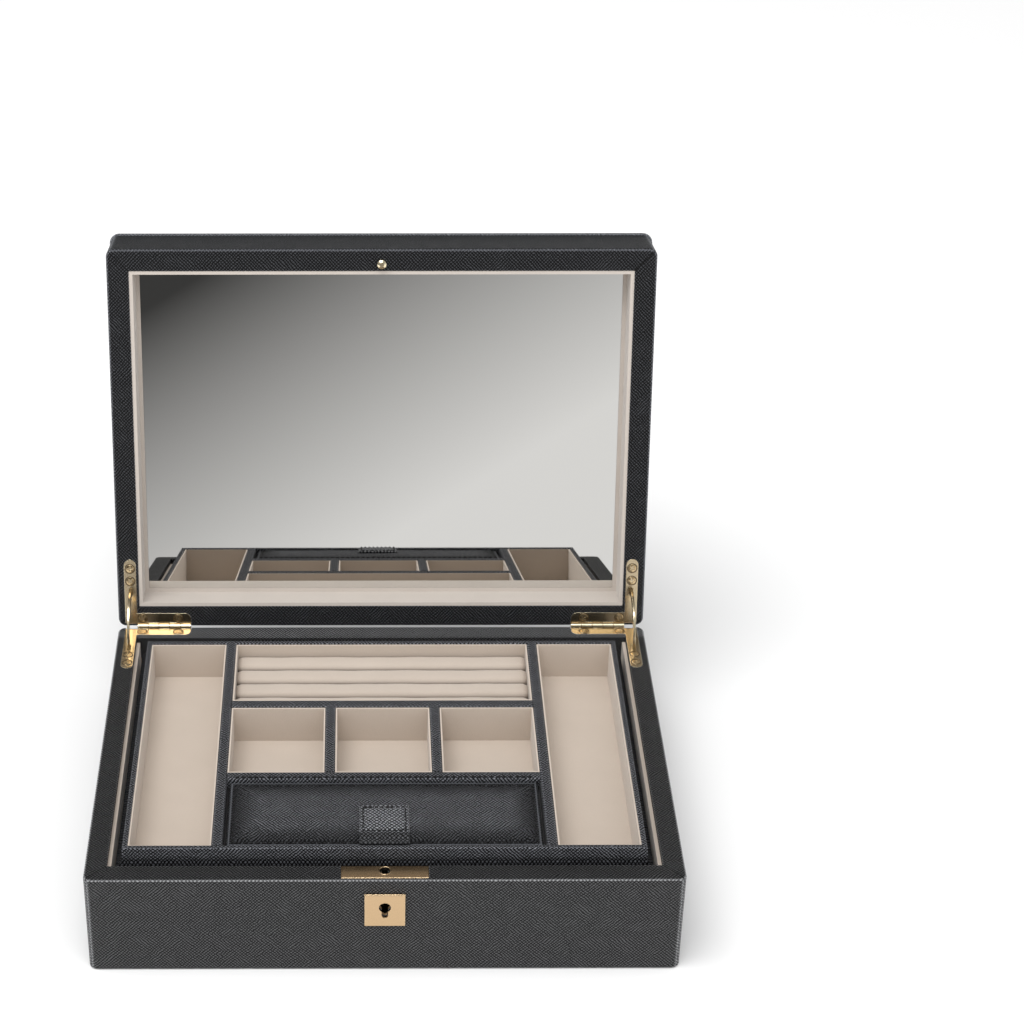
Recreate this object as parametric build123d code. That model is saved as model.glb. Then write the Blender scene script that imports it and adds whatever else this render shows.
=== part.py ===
from build123d import *
import os
from math import cos, radians, sin

# Leather jewellery box, lid open on its stop: case with lock, mirrored lid on quadrant hinges, lift-out tray.
# Millimetres. Origin at the bottom centre of the case, +X to the right seen from the front, front towards -Y.

# Case and lid
width = 300.0  # over the leather, side to side
depth = 220.0  # over the leather, front to rear
case_height = 59.0  # table to case rim
lid_side = 33.5  # lid rim to the top edge of its leather sides
rim_gap = 0.4  # between the two rims when shut
open_angle = 103.0  # where the hinge stays stop the lid
corner_radius = 4.5  # upright corners over the leather
rim_round = 1.5  # outer edge of both rims
leather = 1.0  # thickness of the covering
case_board = 9.0  # case wall boards
lid_board = 10.2  # lid wall boards
turn_down = 14.0  # leather turned in over the inner face of the case and under its base
floor_board = 4.0
base_felt = 0.8
base_inset = 3.0  # felt edge inside the case edge
suede = 0.8  # lining thickness

# Case lining
liner_board = 1.9  # suede-covered boards inside the case walls
liner_drop = 3.5  # side liner tops below the rim
runner_thick = 4.0  # side runners that carry the tray
tray_bottom = 41.0  # height of the runners' tops

# Lid inside
recess = 18.0  # lid rim to mirror face
lid_liner = 2.0
liner_set_in = 0.3  # liner edges below the lid rim
mirror_glass = 2.8
mirror_border = 2.3  # suede bed showing round the mirror
mirror_play = 0.1
top_board = 6.0
cover_overhang = 1.0  # padded top beyond the lid sides
cover_edge = 2.0  # edge thickness of the padded top
cover_crown = 1.5  # rise of the padded top over its edge
cover_slope = 26.0  # width of the rounded border of the padded top
pad_inset = 9.0
pad_thick = 1.8

# Quadrant hinge
leaf_thick = 1.5
leg_width = 6.8
leg_length = 40.5  # from the hinge axis
leg_inset = 7.4  # outer side of the box to the leg's centre line
arm_width = 8.0
arm_end = 41.4  # outer side of the box to the inner end of the rear arm
arm_round = 3.5
barrel_radius = 2.1
pin_radius = 0.8
pin_play = 0.05
knuckle_count = 5
knuckle_length = 6.1
knuckle_gap = 0.12
barrel_clear = 0.3
stay_radius = 20.5  # hinge axis to the stay's middle line
stay_band = 4.0
stay_thick = 1.3
stay_clear = 0.3
stay_head_angle = 6.0
stay_head_thick = 3.0
stay_head_start = 5.4  # angle between a leaf and the stay's head on the stop

# Lock
escutcheon = 20.5
escutcheon_thick = 1.2
keyhole_drop = 17.0  # case rim down to the middle of the keyhole's round
keyhole_radius = 3.0
keyslot_width = 3.3
keyslot_drop = 6.6
plate_below = 12.2  # keyhole to the escutcheon's lower edge
strike_width = 44.0
strike_depth = 9.4
strike_thick = 1.5
stud_hole = 3.0
stud_setback = 7.4  # front of the box to the stud's axis
stud_neck = 1.3
stud_head = 2.5
stud_head_thick = 1.8
stud_length = 6.2
lock_width = 38.0
lock_below = 9.0  # keyhole to the lock's lower edge
lock_depth = 8.6
lock_wall = 0.8
bolt_travel = 3.5
bolt_thick = 1.4
bolt_half = 12.0
bolt_clear = 0.1
bolt_leg = 5.0
bolt_above = 4.2  # keyhole to the bolt leg's lower edge
lever_thick = 0.8
lever_height = 3.2
lever_reach = 20.0
lever_left = 14.0  # keyhole to the lever's post, across and up
lever_above = 7.5
lever_collar = 0.6
pivot_radius = 1.0

# Tray
tray_height = 26.0
tray_wall = 6.4
tray_side_gap = 2.1  # tray to each side liner
tray_front_gap = 0.4  # tray to the leather inside the front
finger_gap = 10.6  # behind the tray
ridge_inset = 3.8  # outer face of the tray wall to its ridge
shoulder_inset = 3.3  # the same at the lid's rim plane
shoulder_drop = 3.5  # height over which the wall steps in below the rim plane
ridge_round = 0.9
tray_floor = 2.5
divider = 5.6
divider_round = 2.0
side_box_width = 41.7
ring_box_depth = 52.5
cross_divider = 6.5
square_depth = 56.0
lining_drop = 1.0
roll_count = 4
roll_height = 15.7
roll_round = 3.2
roll_crown = 0.5
roll_gap = 0.1
flap_side_gap = 1.6
flap_gap = 0.3
flap_front_gap = 0.9
flap_edge = 3.5  # thickness at the flap's border
flap_crown = 2.2
flap_board = 2.4
flap_board_inset = 1.2
flap_sunk = 2.0  # border of the flap below the tray's top
flap_slope = 9.0
tab_width = 25.3
tab_length = 28.4
tab_thick = 1.2

# Places that follow from the sizes above
front = -depth / 2
rear = depth / 2
side = width / 2
lid_base = case_height + rim_gap
axis_z = case_height + rim_gap / 2
case_inner = case_board + 2 * leather
lid_inner = lid_board + 2 * leather
floor_top = base_felt + leather + floor_board
lining_floor = floor_top + suede
bed_top = lid_side - top_board
tray_top = tray_bottom + tray_height
tray_x = side - case_inner - liner_board - tray_side_gap
tray_front = front + case_inner + tray_front_gap
tray_rear = rear - case_inner - finger_gap
box_floor = tray_bottom + tray_floor
box_x = tray_x - tray_wall
box_front = tray_front + tray_wall
box_rear = tray_rear - tray_wall
mid_x = box_x - side_box_width - divider
ring_front = box_rear - ring_box_depth
square_rear = ring_front - cross_divider
square_front = square_rear - square_depth
flap_rear = square_front - cross_divider
square_width = (2 * mid_x - 2 * divider) / 3
barrel_end = side - arm_end
barrel_start = barrel_end + knuckle_count * knuckle_length
leg_x = side - leg_inset
lock_rear = front + case_inner
lock_front = lock_rear - lock_depth
keyhole_z = case_height - keyhole_drop
lock_low = keyhole_z - lock_below
lock_top = case_height - strike_thick
escutcheon_low = keyhole_z - plate_below
stud_y = front + stud_setback


def block(x0, x1, y0, y1, z0, z1):
    """A box between two corners."""
    return Pos((x0 + x1) / 2, (y0 + y1) / 2, (z0 + z1) / 2) * Box(x1 - x0, y1 - y0, z1 - z0)


def slab(w, d, z0, z1, radius=0.0):
    """A box centred on the case, with rounded upright corners."""
    outline = RectangleRounded(w, d, radius) if radius else Rectangle(w, d)
    return extrude(Pos(0, 0, z0) * outline, z1 - z0)


def at_lid(z):
    """Height in the shut box of a level measured up from the lid's rim."""
    return lid_base + z


def opened(shape):
    """A lid piece turned from shut to the open stop."""
    return shape.rotate(Axis((0, rear, axis_z), (1, 0, 0)), -open_angle)


def both_sides(shape):
    """The piece for the left of the box, and its mirror image for the right."""
    return {"left": shape, "right": mirror(shape, about=Plane.YZ)}


def mitre_cuts(w, d, inset, z0, z1, y_mid=0.0):
    """Prisms that share a rectangular frame out into four mitred lengths."""
    x, y = w / 2, d / 2
    outlines = {
        "front": [(-x, -y), (x, -y), (x - inset, inset - y), (inset - x, inset - y)],
        "rear": [(x, y), (-x, y), (inset - x, y - inset), (x - inset, y - inset)],
        "left": [(-x, y), (-x, -y), (inset - x, inset - y), (inset - x, y - inset)],
        "right": [(x, -y), (x, y), (x - inset, y - inset), (x - inset, inset - y)],
    }
    cuts = {}
    for place, points in outlines.items():
        face = make_face(Polyline(*points, close=True))
        cuts[place] = extrude(Pos(0, y_mid, z0) * face, z1 - z0)
    return cuts


def mitred_walls(board, z0, z1):
    """Four wall boards under the leather, mitred at the corners."""
    w, d = width - 2 * leather, depth - 2 * leather
    ring = slab(w, d, z0, z1, corner_radius - leather) - slab(w - 2 * board, d - 2 * board, z0, z1)
    cuts = mitre_cuts(w, d, board, z0, z1)
    return {place: ring & cut for place, cut in cuts.items()}


def wrapped_skin(z0, z1, rim_top, board, inner_depth, turn_in):
    """Leather round the boards: outer sides, rim, inner turn-down and the turn-in at the other edge."""
    inner_w, inner_d = width - 2 * (board + 2 * leather), depth - 2 * (board + 2 * leather)
    rim, back = (z1, z0) if rim_top else (z0, z1)
    step = leather if rim_top else -leather
    skin = slab(width, depth, z0, z1, corner_radius)
    edge = skin.edges().group_by(Axis.Z)[-1 if rim_top else 0]
    skin = fillet(edge, rim_round)
    low, high = sorted((rim - step, back + step if turn_in else back))
    skin -= slab(width - 2 * leather, depth - 2 * leather, low, high, corner_radius - leather)
    low, high = sorted((rim, rim - step))
    skin -= slab(inner_w, inner_d, low, high)
    if turn_in:
        low, high = sorted((back, back + step))
        skin -= slab(width - 2 * turn_in, depth - 2 * turn_in, low, high)
    low, high = sorted((rim - step / 2, rim - step * inner_depth / leather))
    inside = slab(inner_w + 2 * leather, inner_d + 2 * leather, low, high)
    return skin + (inside - slab(inner_w, inner_d, low, high))


def plan_ring(w, d, thick, z0, z1):
    """Straight lining boards round a rectangle, butted at the corners."""
    x, y = w / 2, d / 2
    return {
        "left": block(-x, thick - x, -y, y, z0, z1),
        "right": block(x - thick, x, -y, y, z0, z1),
        "front": block(thick - x, x - thick, -y, thick - y, z0, z1),
        "rear": block(thick - x, x - thick, y - thick, y, z0, z1),
    }


def along_x(radius, x0, x1, y, z):
    """A cylinder along X."""
    return Pos((x0 + x1) / 2, y, z) * Rot(0, 90, 0) * Cylinder(radius, x1 - x0)


def along_y(radius, y0, y1, x, z):
    """A cylinder along Y."""
    return Pos(x, (y0 + y1) / 2, z) * Rot(90, 0, 0) * Cylinder(radius, y1 - y0)


def sector(r_in, r_out, start, end, x0, x1):
    """Part of a ring about the hinge axis, from one angle to another above the case rim plane."""
    outer = CenterArc((0, 0), r_out, 180 - end, end - start)
    inner = CenterArc((0, 0), r_in, 180 - end, end - start)
    ends = [Line(outer @ 0, inner @ 0), Line(outer @ 1, inner @ 1)]
    face = make_face([outer, inner, *ends])
    plane = Plane((x0, rear, axis_z), x_dir=(0, 1, 0), z_dir=(1, 0, 0))
    return extrude(plane * face, x1 - x0)


def leaf_outline():
    """Plan of a left hinge leaf: a long leg with a round end and a rear arm with a round corner."""
    end_y = rear - leg_length
    leg = Pos(-leg_x, (rear + end_y + leg_width / 2) / 2) * Rectangle(
        leg_width, rear - end_y - leg_width / 2
    )
    leg += Pos(-leg_x, end_y + leg_width / 2) * Circle(leg_width / 2)
    x0, x1 = -leg_x, -barrel_end
    arm = Pos((x0 + x1) / 2, rear - arm_width / 2) * Rectangle(x1 - x0, arm_width)
    corner = arm.vertices().sort_by(Axis.Y)[:2].sort_by(Axis.X)[-1]
    return leg + fillet(corner, arm_round)


def knuckle_span(index):
    """X from outer to inner end of one knuckle of the left barrel."""
    x0 = -barrel_start + index * knuckle_length
    return x0 + knuckle_gap / 2, x0 + knuckle_length - knuckle_gap / 2


def barrel_relief():
    """Room for the left barrel in a rim."""
    return along_x(
        barrel_radius + barrel_clear, -barrel_start - barrel_clear, -barrel_end + barrel_clear, rear, axis_z
    )


def hinge_leaf(lower):
    """A left leaf let in flush with its rim, with its knuckles and the stay's slot."""
    top = case_height if lower else lid_base + leaf_thick
    plate = extrude(Pos(0, 0, top - leaf_thick) * leaf_outline(), leaf_thick)
    leaf = plate & block(-side, 0, 0, rear - barrel_radius, 0, 2 * case_height)
    leaf -= barrel_relief()
    for index in range(0 if lower else 1, knuckle_count, 2):
        x0, x1 = knuckle_span(index)
        leaf += block(x0, x1, rear - 2 * barrel_radius, rear, top - leaf_thick, top)
        leaf += along_x(barrel_radius, x0, x1, rear, axis_z)
    leaf -= along_x(pin_radius + pin_play, -barrel_start - 1, -barrel_end + 1, rear, axis_z)
    slot_x = stay_thick / 2 + stay_clear
    slot_r = stay_band / 2 + stay_clear
    mid = rear - stay_radius
    leaf -= block(-leg_x - slot_x, -leg_x + slot_x, mid - slot_r, mid + slot_r, top - leaf_thick, top)
    return leaf


def leaf_seat(lower):
    """What the left leaf, barrel and stay need cut from a rim."""
    z0 = case_height - leaf_thick if lower else lid_base
    seat = extrude(Pos(0, 0, z0) * leaf_outline(), leaf_thick) + barrel_relief()
    half_x = stay_head_thick / 2 + stay_clear
    reach = stay_radius + stay_band / 2 + stay_clear
    swing = open_angle / 2 + stay_head_start + stay_head_angle
    inner = (reach - stay_band - 2 * stay_clear) * cos(radians(swing))
    deep = reach * sin(radians(swing))
    level = sorted((axis_z, axis_z - deep if lower else axis_z + deep))
    return seat + block(-leg_x - half_x, -leg_x + half_x, rear - reach, rear - inner, *level)


def hinge_stay():
    """The left stay: an arc through both leaves, wider at each end where it meets a leaf at the stop."""
    r_in, r_out = stay_radius - stay_band / 2, stay_radius + stay_band / 2
    low, high = -stay_head_start, open_angle + stay_head_start
    half, half_head = stay_thick / 2, stay_head_thick / 2
    first, last = low - stay_head_angle, high + stay_head_angle
    stay = sector(r_in, r_out, first, last, half - leg_x - stay_thick, half - leg_x)
    stay += sector(r_in, r_out, first, low, -leg_x - half_head, half_head - leg_x)
    return stay + sector(r_in, r_out, high, last, -leg_x - half_head, half_head - leg_x)


def keyhole(y0, y1):
    """Round hole with a slot below it, along Y."""
    low = keyhole_z - keyslot_drop + keyslot_width / 2
    cut = along_y(keyhole_radius, y0, y1, 0, keyhole_z)
    cut += block(-keyslot_width / 2, keyslot_width / 2, y0, y1, low, keyhole_z)
    return cut + along_y(keyslot_width / 2, y0, y1, 0, low)


def lock_body():
    """Box lock with its keyhole, stud hole and lever post, open towards the inside of the case."""
    half, wall = lock_width / 2, lock_wall
    body = block(-half, half, lock_front, lock_rear - wall, lock_low, lock_top)
    body -= block(wall - half, half - wall, lock_front + wall, lock_rear, lock_low + wall, lock_top - wall)
    body -= Pos(0, stud_y, lock_top) * Cylinder(stud_hole, 4 * wall)
    body -= keyhole(lock_front - wall, lock_front + 2 * wall)
    post_x, post_z = -lever_left, keyhole_z + lever_above
    return body + along_y(pivot_radius, lock_front + wall / 2, lock_rear - wall, post_x, post_z)


def lock_bolt():
    """Sliding plate whose keyhole slot takes the stud, with a leg down to the key."""
    top = lock_top - lock_wall - bolt_clear
    y0, y1 = lock_front + lock_wall + bolt_clear, lock_rear - lock_wall - bolt_clear
    plate = block(-bolt_half, bolt_half, y0, y1, top - bolt_thick, top)
    plate -= Pos(0, stud_y, top) * Cylinder(stud_hole, 4 * bolt_thick)
    neck = stud_neck + barrel_clear
    plate -= block(-bolt_travel, 0, stud_y - neck, stud_y + neck, top - bolt_thick, top)
    plate -= Pos(-bolt_travel, stud_y, top) * Cylinder(neck, 4 * bolt_thick)
    low = keyhole_z + bolt_above
    leg = block(-bolt_leg, bolt_leg, y0, y0 + lock_wall, low, top)
    return plate + (leg - along_y(bolt_leg / 2, y0, y0 + lock_wall, 0, low))


def lock_lever():
    """Lever on its post behind the bolt's leg, with a belly over the keyhole that the key lifts."""
    x, z = -lever_left, keyhole_z + lever_above
    y0 = lock_front + 2 * (lock_wall + bolt_clear)
    y1 = y0 + lever_thick
    lever = block(x, x + lever_reach, y0, y1, z - lever_height / 2, z + lever_height / 2)
    lever += along_y(lever_height / 2 + lever_collar, y0, y1, x, z)
    lever += along_y(lever_height, y0, y1, 0, z - lever_height / 2)
    return lever - along_y(pivot_radius + pin_play, y0 - 1, y1 + 1, x, z)


def catch_stud():
    """Mushroom stud under the lid's front rim, shut position."""
    outline = Polyline(
        (0, lid_base),
        (stud_neck, lid_base),
        (stud_neck, lid_base - stud_length + stud_head_thick),
        (stud_head, lid_base - stud_length + stud_head_thick),
        (stud_head, lid_base - stud_length + stud_head_thick / 2),
        (stud_head / 2, lid_base - stud_length),
        (0, lid_base - stud_length),
        close=True,
    )
    return Pos(0, stud_y, 0) * revolve(Plane.XZ * make_face(outline), Axis.Z)


def crowned(x0, x1, y0, y1, low, edge, top, slope):
    """A padded panel: straight border up to edge, then a crown that rises to top over the slope width."""
    cx, cy, w, d = (x0 + x1) / 2, (y0 + y1) / 2, x1 - x0, y1 - y0
    base = block(x0, x1, y0, y1, low, edge)
    levels = [(0.0, edge), (slope * 0.35, edge + (top - edge) * 0.65), (slope, top)]
    rings = [Pos(cx, cy, z) * Rectangle(w - 2 * inset, d - 2 * inset) for inset, z in levels]
    return base + loft(rings)


def tray_frame():
    """The tray's outer walls: upright inside, stepped in above the rim plane so that the lid passes."""
    w, d = 2 * tray_x, tray_rear - tray_front
    y_mid = (tray_front + tray_rear) / 2
    levels = [
        (0.0, tray_bottom),
        (0.0, case_height - shoulder_drop),
        (shoulder_inset, case_height),
        (ridge_inset, tray_top),
    ]
    outer = None
    for (inset0, z0), (inset1, z1) in zip(levels, levels[1:]):
        rings = [
            Pos(0, y_mid, z) * Rectangle(w - 2 * inset, d - 2 * inset)
            for inset, z in ((inset0, z0), (inset1, z1))
        ]
        piece = loft(rings, ruled=True)
        outer = piece if outer is None else outer + piece
    frame = outer - block(-box_x, box_x, box_front, box_rear, tray_bottom, tray_top)
    frame = fillet(frame.edges().group_by(Axis.Z)[-1], ridge_round)
    cuts = mitre_cuts(w, d, tray_wall, tray_bottom, tray_top, y_mid)
    return {place: frame & cut for place, cut in cuts.items()}


def tray_divider(x0, x1, y0, y1, along):
    """A leather-covered divider with a rounded top."""
    body = block(x0, x1, y0, y1, box_floor, tray_top)
    axis = Axis.Y if along == "y" else Axis.X
    return fillet(body.edges().group_by(Axis.Z)[-1].filter_by(axis), divider_round)


def lining_box(x0, x1, y0, y1, top):
    """A suede lining: floor and four sides of one compartment."""
    body = block(x0, x1, y0, y1, box_floor, top)
    return body - block(x0 + suede, x1 - suede, y0 + suede, y1 - suede, box_floor + suede, top)


def ring_roll(y0, y1):
    """One ring roll: upright sides, rounded shoulders and a slightly crowned top."""
    z0 = box_floor + suede
    z1 = z0 + roll_height
    shoulder = z1 - roll_round - roll_crown
    mid = (y0 + y1) / 2
    lines = [
        Line((y0, z0), (y1, z0)),
        Line((y1, z0), (y1, shoulder)),
        RadiusArc((y1, shoulder), (y1 - roll_round, z1 - roll_crown), -roll_round),
        ThreePointArc((y1 - roll_round, z1 - roll_crown), (mid, z1), (y0 + roll_round, z1 - roll_crown)),
        RadiusArc((y0 + roll_round, z1 - roll_crown), (y0, shoulder), -roll_round),
        Line((y0, shoulder), (y0, z0)),
    ]
    face = make_face(lines)
    x = mid_x - suede - roll_gap
    return extrude(Plane((-x, 0, 0), x_dir=(0, 1, 0), z_dir=(1, 0, 0)) * face, 2 * x)


def pull_tab(cover):
    """Flat tab sewn on the flap's front edge, lying on its crown."""
    y0 = box_front + flap_front_gap
    y1 = y0 + tab_length
    top = tray_top - flap_sunk + flap_crown
    points = [
        (y1, top),
        (y1, top + tab_thick),
        (y0 + flap_slope, top + tab_thick - flap_crown * 0.1),
        (y0, top + tab_thick - flap_crown * 0.75),
        (y0, top - flap_crown),
        (y0 + flap_slope, top - flap_crown),
    ]
    face = make_face(Polyline(*points, close=True))
    plane = Plane((-tab_width / 2, 0, 0), x_dir=(0, 1, 0), z_dir=(1, 0, 0))
    return extrude(plane * face, tab_width) - cover


parts = {}

# Case: boards, leather, linings
walls = mitred_walls(case_board, base_felt + leather, case_height - leather)
seats = both_sides(leaf_seat(lower=True))
walls["left"] -= seats["left"]
walls["right"] -= seats["right"]
walls["rear"] -= seats["left"] + seats["right"]
lock_room = block(-lock_width / 2, lock_width / 2, lock_front, lock_rear, lock_low, case_height)
strike_y = front + case_inner - strike_depth
strike_room = block(-strike_width / 2, strike_width / 2, strike_y, lock_rear, lock_top, case_height)
walls["front"] -= lock_room + strike_room + keyhole(front, lock_front)
for place, wall in walls.items():
    parts["case_wall_" + place] = wall
inner_w, inner_d = width - 2 * case_inner, depth - 2 * case_inner
board_w, board_d = inner_w + 2 * leather, inner_d + 2 * leather
parts["case_floor"] = slab(board_w, board_d, base_felt + leather, floor_top)
skin = wrapped_skin(base_felt, case_height, True, case_board, turn_down, turn_down)
skin -= seats["left"] + seats["right"] + strike_room + lock_room + keyhole(front - 1, front + 2)
parts["case_leather"] = skin
parts["base_felt"] = slab(width - 2 * base_inset, depth - 2 * base_inset, 0, base_felt, corner_radius)
parts["floor_lining"] = slab(inner_w, inner_d, floor_top, lining_floor)
side_liners = plan_ring(inner_w, inner_d, liner_board, lining_floor, case_height - liner_drop)
low_liners = plan_ring(inner_w, inner_d, liner_board, lining_floor, tray_bottom)
for place in ("left", "right"):
    parts["case_liner_" + place] = side_liners[place]
parts["storage_liners"] = Compound([low_liners["front"], low_liners["rear"]])
runner_x = inner_w / 2 - liner_board
runner_y = inner_d / 2 - liner_board
runner = block(-runner_x, runner_thick - runner_x, -runner_y, runner_y, lining_floor, tray_bottom)
for place, shape in both_sides(runner).items():
    parts["tray_runner_" + place] = shape

# Lock on the front
parts["lock_body"] = lock_body()
parts["lock_cover"] = block(
    -lock_width / 2, lock_width / 2, lock_rear - lock_wall, lock_rear, lock_low, lock_top
)
strike = chamfer(strike_room.edges().group_by(Axis.Z)[-1], 0.3)
parts["strike_plate"] = strike - Pos(0, stud_y, case_height) * Cylinder(stud_hole, 4 * strike_thick)
plate_top = escutcheon_low + escutcheon
plate = block(-escutcheon / 2, escutcheon / 2, front - escutcheon_thick, front, escutcheon_low, plate_top)
plate = chamfer(plate.edges().group_by(Axis.Y)[0], 0.4)
parts["escutcheon"] = plate - keyhole(front - 2, front + 1)
parts["lock_bolt"] = lock_bolt()
parts["lock_lever"] = lock_lever()

# Hinges
for place, shape in both_sides(hinge_leaf(lower=True)).items():
    parts["lower_leaf_" + place] = shape
pin = along_x(pin_radius, -barrel_start, -barrel_end, rear, axis_z)
parts["hinge_pins"] = Compound(list(both_sides(pin).values()))
for place, shape in both_sides(hinge_stay()).items():
    parts["stay_" + place] = shape

# Lid, built shut and turned open
lid = {}
lid_walls = mitred_walls(lid_board, at_lid(leather), at_lid(lid_side))
lid_seats = both_sides(leaf_seat(lower=False))
lid_walls["left"] -= lid_seats["left"]
lid_walls["right"] -= lid_seats["right"]
lid_walls["rear"] -= lid_seats["left"] + lid_seats["right"]
for place, wall in lid_walls.items():
    lid["lid_wall_" + place] = wall
lid_in_w, lid_in_d = width - 2 * lid_inner, depth - 2 * lid_inner
lid_skin = wrapped_skin(lid_base, at_lid(lid_side), False, lid_board, recess, 0)
lid["lid_leather"] = lid_skin - lid_seats["left"] - lid_seats["right"]
lid["lid_top_board"] = slab(lid_in_w + 2 * leather, lid_in_d + 2 * leather, at_lid(bed_top), at_lid(lid_side))
bed = slab(lid_in_w, lid_in_d, at_lid(recess), at_lid(bed_top))
glass_w = lid_in_w - 2 * (lid_liner + mirror_border)
glass_d = lid_in_d - 2 * (lid_liner + mirror_border)
mirror_back = at_lid(recess + mirror_glass)
bed -= slab(glass_w + 2 * mirror_play, glass_d + 2 * mirror_play, at_lid(recess), mirror_back)
lid["mirror_bed"] = bed
lid["mirror"] = slab(glass_w, glass_d, at_lid(recess), mirror_back)
lid["lid_liners"] = Compound(
    list(plan_ring(lid_in_w, lid_in_d, lid_liner, at_lid(liner_set_in), at_lid(recess)).values())
)
pad = slab(width - 2 * pad_inset, depth - 2 * pad_inset, at_lid(lid_side), at_lid(lid_side + pad_thick))
lid["lid_pad"] = pad
over_x, over_y = side + cover_overhang, rear + cover_overhang
edge_z = at_lid(lid_side + cover_edge)
cover = crowned(
    -over_x, over_x, -over_y, over_y, at_lid(lid_side), edge_z, edge_z + cover_crown, cover_slope
)
lid["lid_cover"] = cover - pad
for place, shape in both_sides(hinge_leaf(lower=False)).items():
    lid["upper_leaf_" + place] = shape
lid["catch_stud"] = catch_stud()
for name, shape in lid.items():
    parts[name] = opened(shape)

# Tray
for place, wall in tray_frame().items():
    parts["tray_wall_" + place] = wall
parts["tray_floor"] = block(-box_x, box_x, box_front, box_rear, tray_bottom, box_floor)
long_divider = tray_divider(-mid_x - divider, -mid_x, box_front, box_rear, "y")
for place, shape in both_sides(long_divider).items():
    parts["long_divider_" + place] = shape
parts["cross_divider_rear"] = tray_divider(-mid_x, mid_x, square_rear, ring_front, "x")
parts["cross_divider_front"] = tray_divider(-mid_x, mid_x, flap_rear, square_front, "x")
square_x = square_width / 2
short_divider = tray_divider(-square_x - divider, -square_x, square_front, square_rear, "y")
for place, shape in both_sides(short_divider).items():
    parts["short_divider_" + place] = shape
lining_top = tray_top - lining_drop
side_lining = lining_box(-box_x, -mid_x - divider, box_front, box_rear, lining_top)
parts["side_linings"] = Compound(list(both_sides(side_lining).values()))
squares = []
for index in range(3):
    x0 = -mid_x + index * (square_width + divider)
    squares.append(lining_box(x0, x0 + square_width, square_front, square_rear, lining_top))
parts["square_linings"] = Compound(squares)
parts["ring_lining"] = lining_box(-mid_x, mid_x, ring_front, box_rear, lining_top)
flap_low = tray_top - flap_sunk - flap_edge
parts["flap_box_lining"] = lining_box(-mid_x, mid_x, box_front, flap_rear, flap_low)
roll_pitch = (ring_box_depth - 2 * suede) / roll_count
rolls = []
for index in range(roll_count):
    y0 = ring_front + suede + index * roll_pitch
    rolls.append(ring_roll(y0 + roll_gap / 2, y0 + roll_pitch - roll_gap / 2))
parts["ring_rolls"] = Compound(rolls)

# Flap over the front compartment
flap_x = mid_x - flap_side_gap
flap_y0, flap_y1 = box_front + flap_front_gap, flap_rear - flap_gap
flap_top = flap_low + flap_edge
flap_panel = crowned(-flap_x, flap_x, flap_y0, flap_y1, flap_low, flap_top, flap_top + flap_crown, flap_slope)
inset = flap_board_inset
core = block(
    inset - flap_x, flap_x - inset, flap_y0 + inset, flap_y1 - inset, flap_low, flap_low + flap_board
)
parts["flap_board"] = core
parts["flap_cover"] = flap_panel - core
parts["pull_tab"] = pull_tab(flap_panel)

os.makedirs("parts", exist_ok=True)
for name, shape in parts.items():
    export_step(shape, "parts/" + name + ".step")
print(len(parts), "parts")
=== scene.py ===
"""A hard jewellery and cufflink box in black cross-grained leather, shown open.

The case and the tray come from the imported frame. This script gives every piece its finish,
and makes the soft pieces, the screws and the stitching that the frame only stands in for.
"""
import math
import bmesh
import bpy
import numpy as np
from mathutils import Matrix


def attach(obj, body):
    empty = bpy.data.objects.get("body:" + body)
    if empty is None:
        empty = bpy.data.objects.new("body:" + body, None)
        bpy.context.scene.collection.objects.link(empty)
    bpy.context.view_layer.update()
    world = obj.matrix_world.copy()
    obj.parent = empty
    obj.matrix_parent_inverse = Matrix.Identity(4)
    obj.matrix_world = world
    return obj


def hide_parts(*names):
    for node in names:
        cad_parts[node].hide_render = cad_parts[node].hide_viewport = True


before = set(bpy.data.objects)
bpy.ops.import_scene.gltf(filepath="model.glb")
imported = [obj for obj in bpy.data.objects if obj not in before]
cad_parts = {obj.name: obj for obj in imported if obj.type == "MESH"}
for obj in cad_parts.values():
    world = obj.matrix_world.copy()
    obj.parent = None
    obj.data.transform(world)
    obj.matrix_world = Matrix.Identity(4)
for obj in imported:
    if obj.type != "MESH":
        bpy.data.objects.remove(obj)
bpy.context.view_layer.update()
MM = 0.001


# ---- Leather covering of the case
# The wooden case is covered in black split leather with a pressed cross-hatched grain,
# turned over the rims and glued, with mitred folds in the corners.

def new_material(name, **values):
    """A Principled material, its shader and its node tree; values are socket names with _ for a space."""
    made = bpy.data.materials.new(name)
    made.use_nodes = True
    tree = made.node_tree
    shader = tree.nodes["Principled BSDF"]
    for key, value in values.items():
        shader.inputs[key.replace("_", " ")].default_value = value
    return made, shader, tree


def add(tree, kind, settings=None, **inputs):
    """A node of that kind: settings are its properties, inputs its sockets as values or as sockets to link.

    A socket is given by its name, with _ for a space, or by its number as i0, i1 and so on.
    """
    made = tree.nodes.new(kind)
    for key, value in (settings or {}).items():
        setattr(made, key, value)
    for key, value in inputs.items():
        numbered = key[0] == "i" and key[1:].isdigit()
        socket = made.inputs[int(key[1:])] if numbered else made.inputs[key.replace("_", " ")]
        if isinstance(value, bpy.types.NodeSocket):
            tree.links.new(value, socket)
        else:
            socket.default_value = value
    return made


def math_node(tree, operation, a, b=0.0, c=0.0):
    """The output of a Math node over a, b and c, each a number or a socket."""
    return add(tree, "ShaderNodeMath", {"operation": operation}, i0=a, i1=b, i2=c).outputs[0]


def eased_step(tree, value, start, end, low=0.0, high=1.0):
    """A socket that goes softly from low, where value is start, to high, where value is end."""
    step = add(tree, "ShaderNodeMapRange", {"interpolation_type": "SMOOTHSTEP"}, Value=value)
    for socket, number in zip(list(step.inputs)[1:5], (start, end, low, high)):
        socket.default_value = number
    return step.outputs[0]


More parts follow.
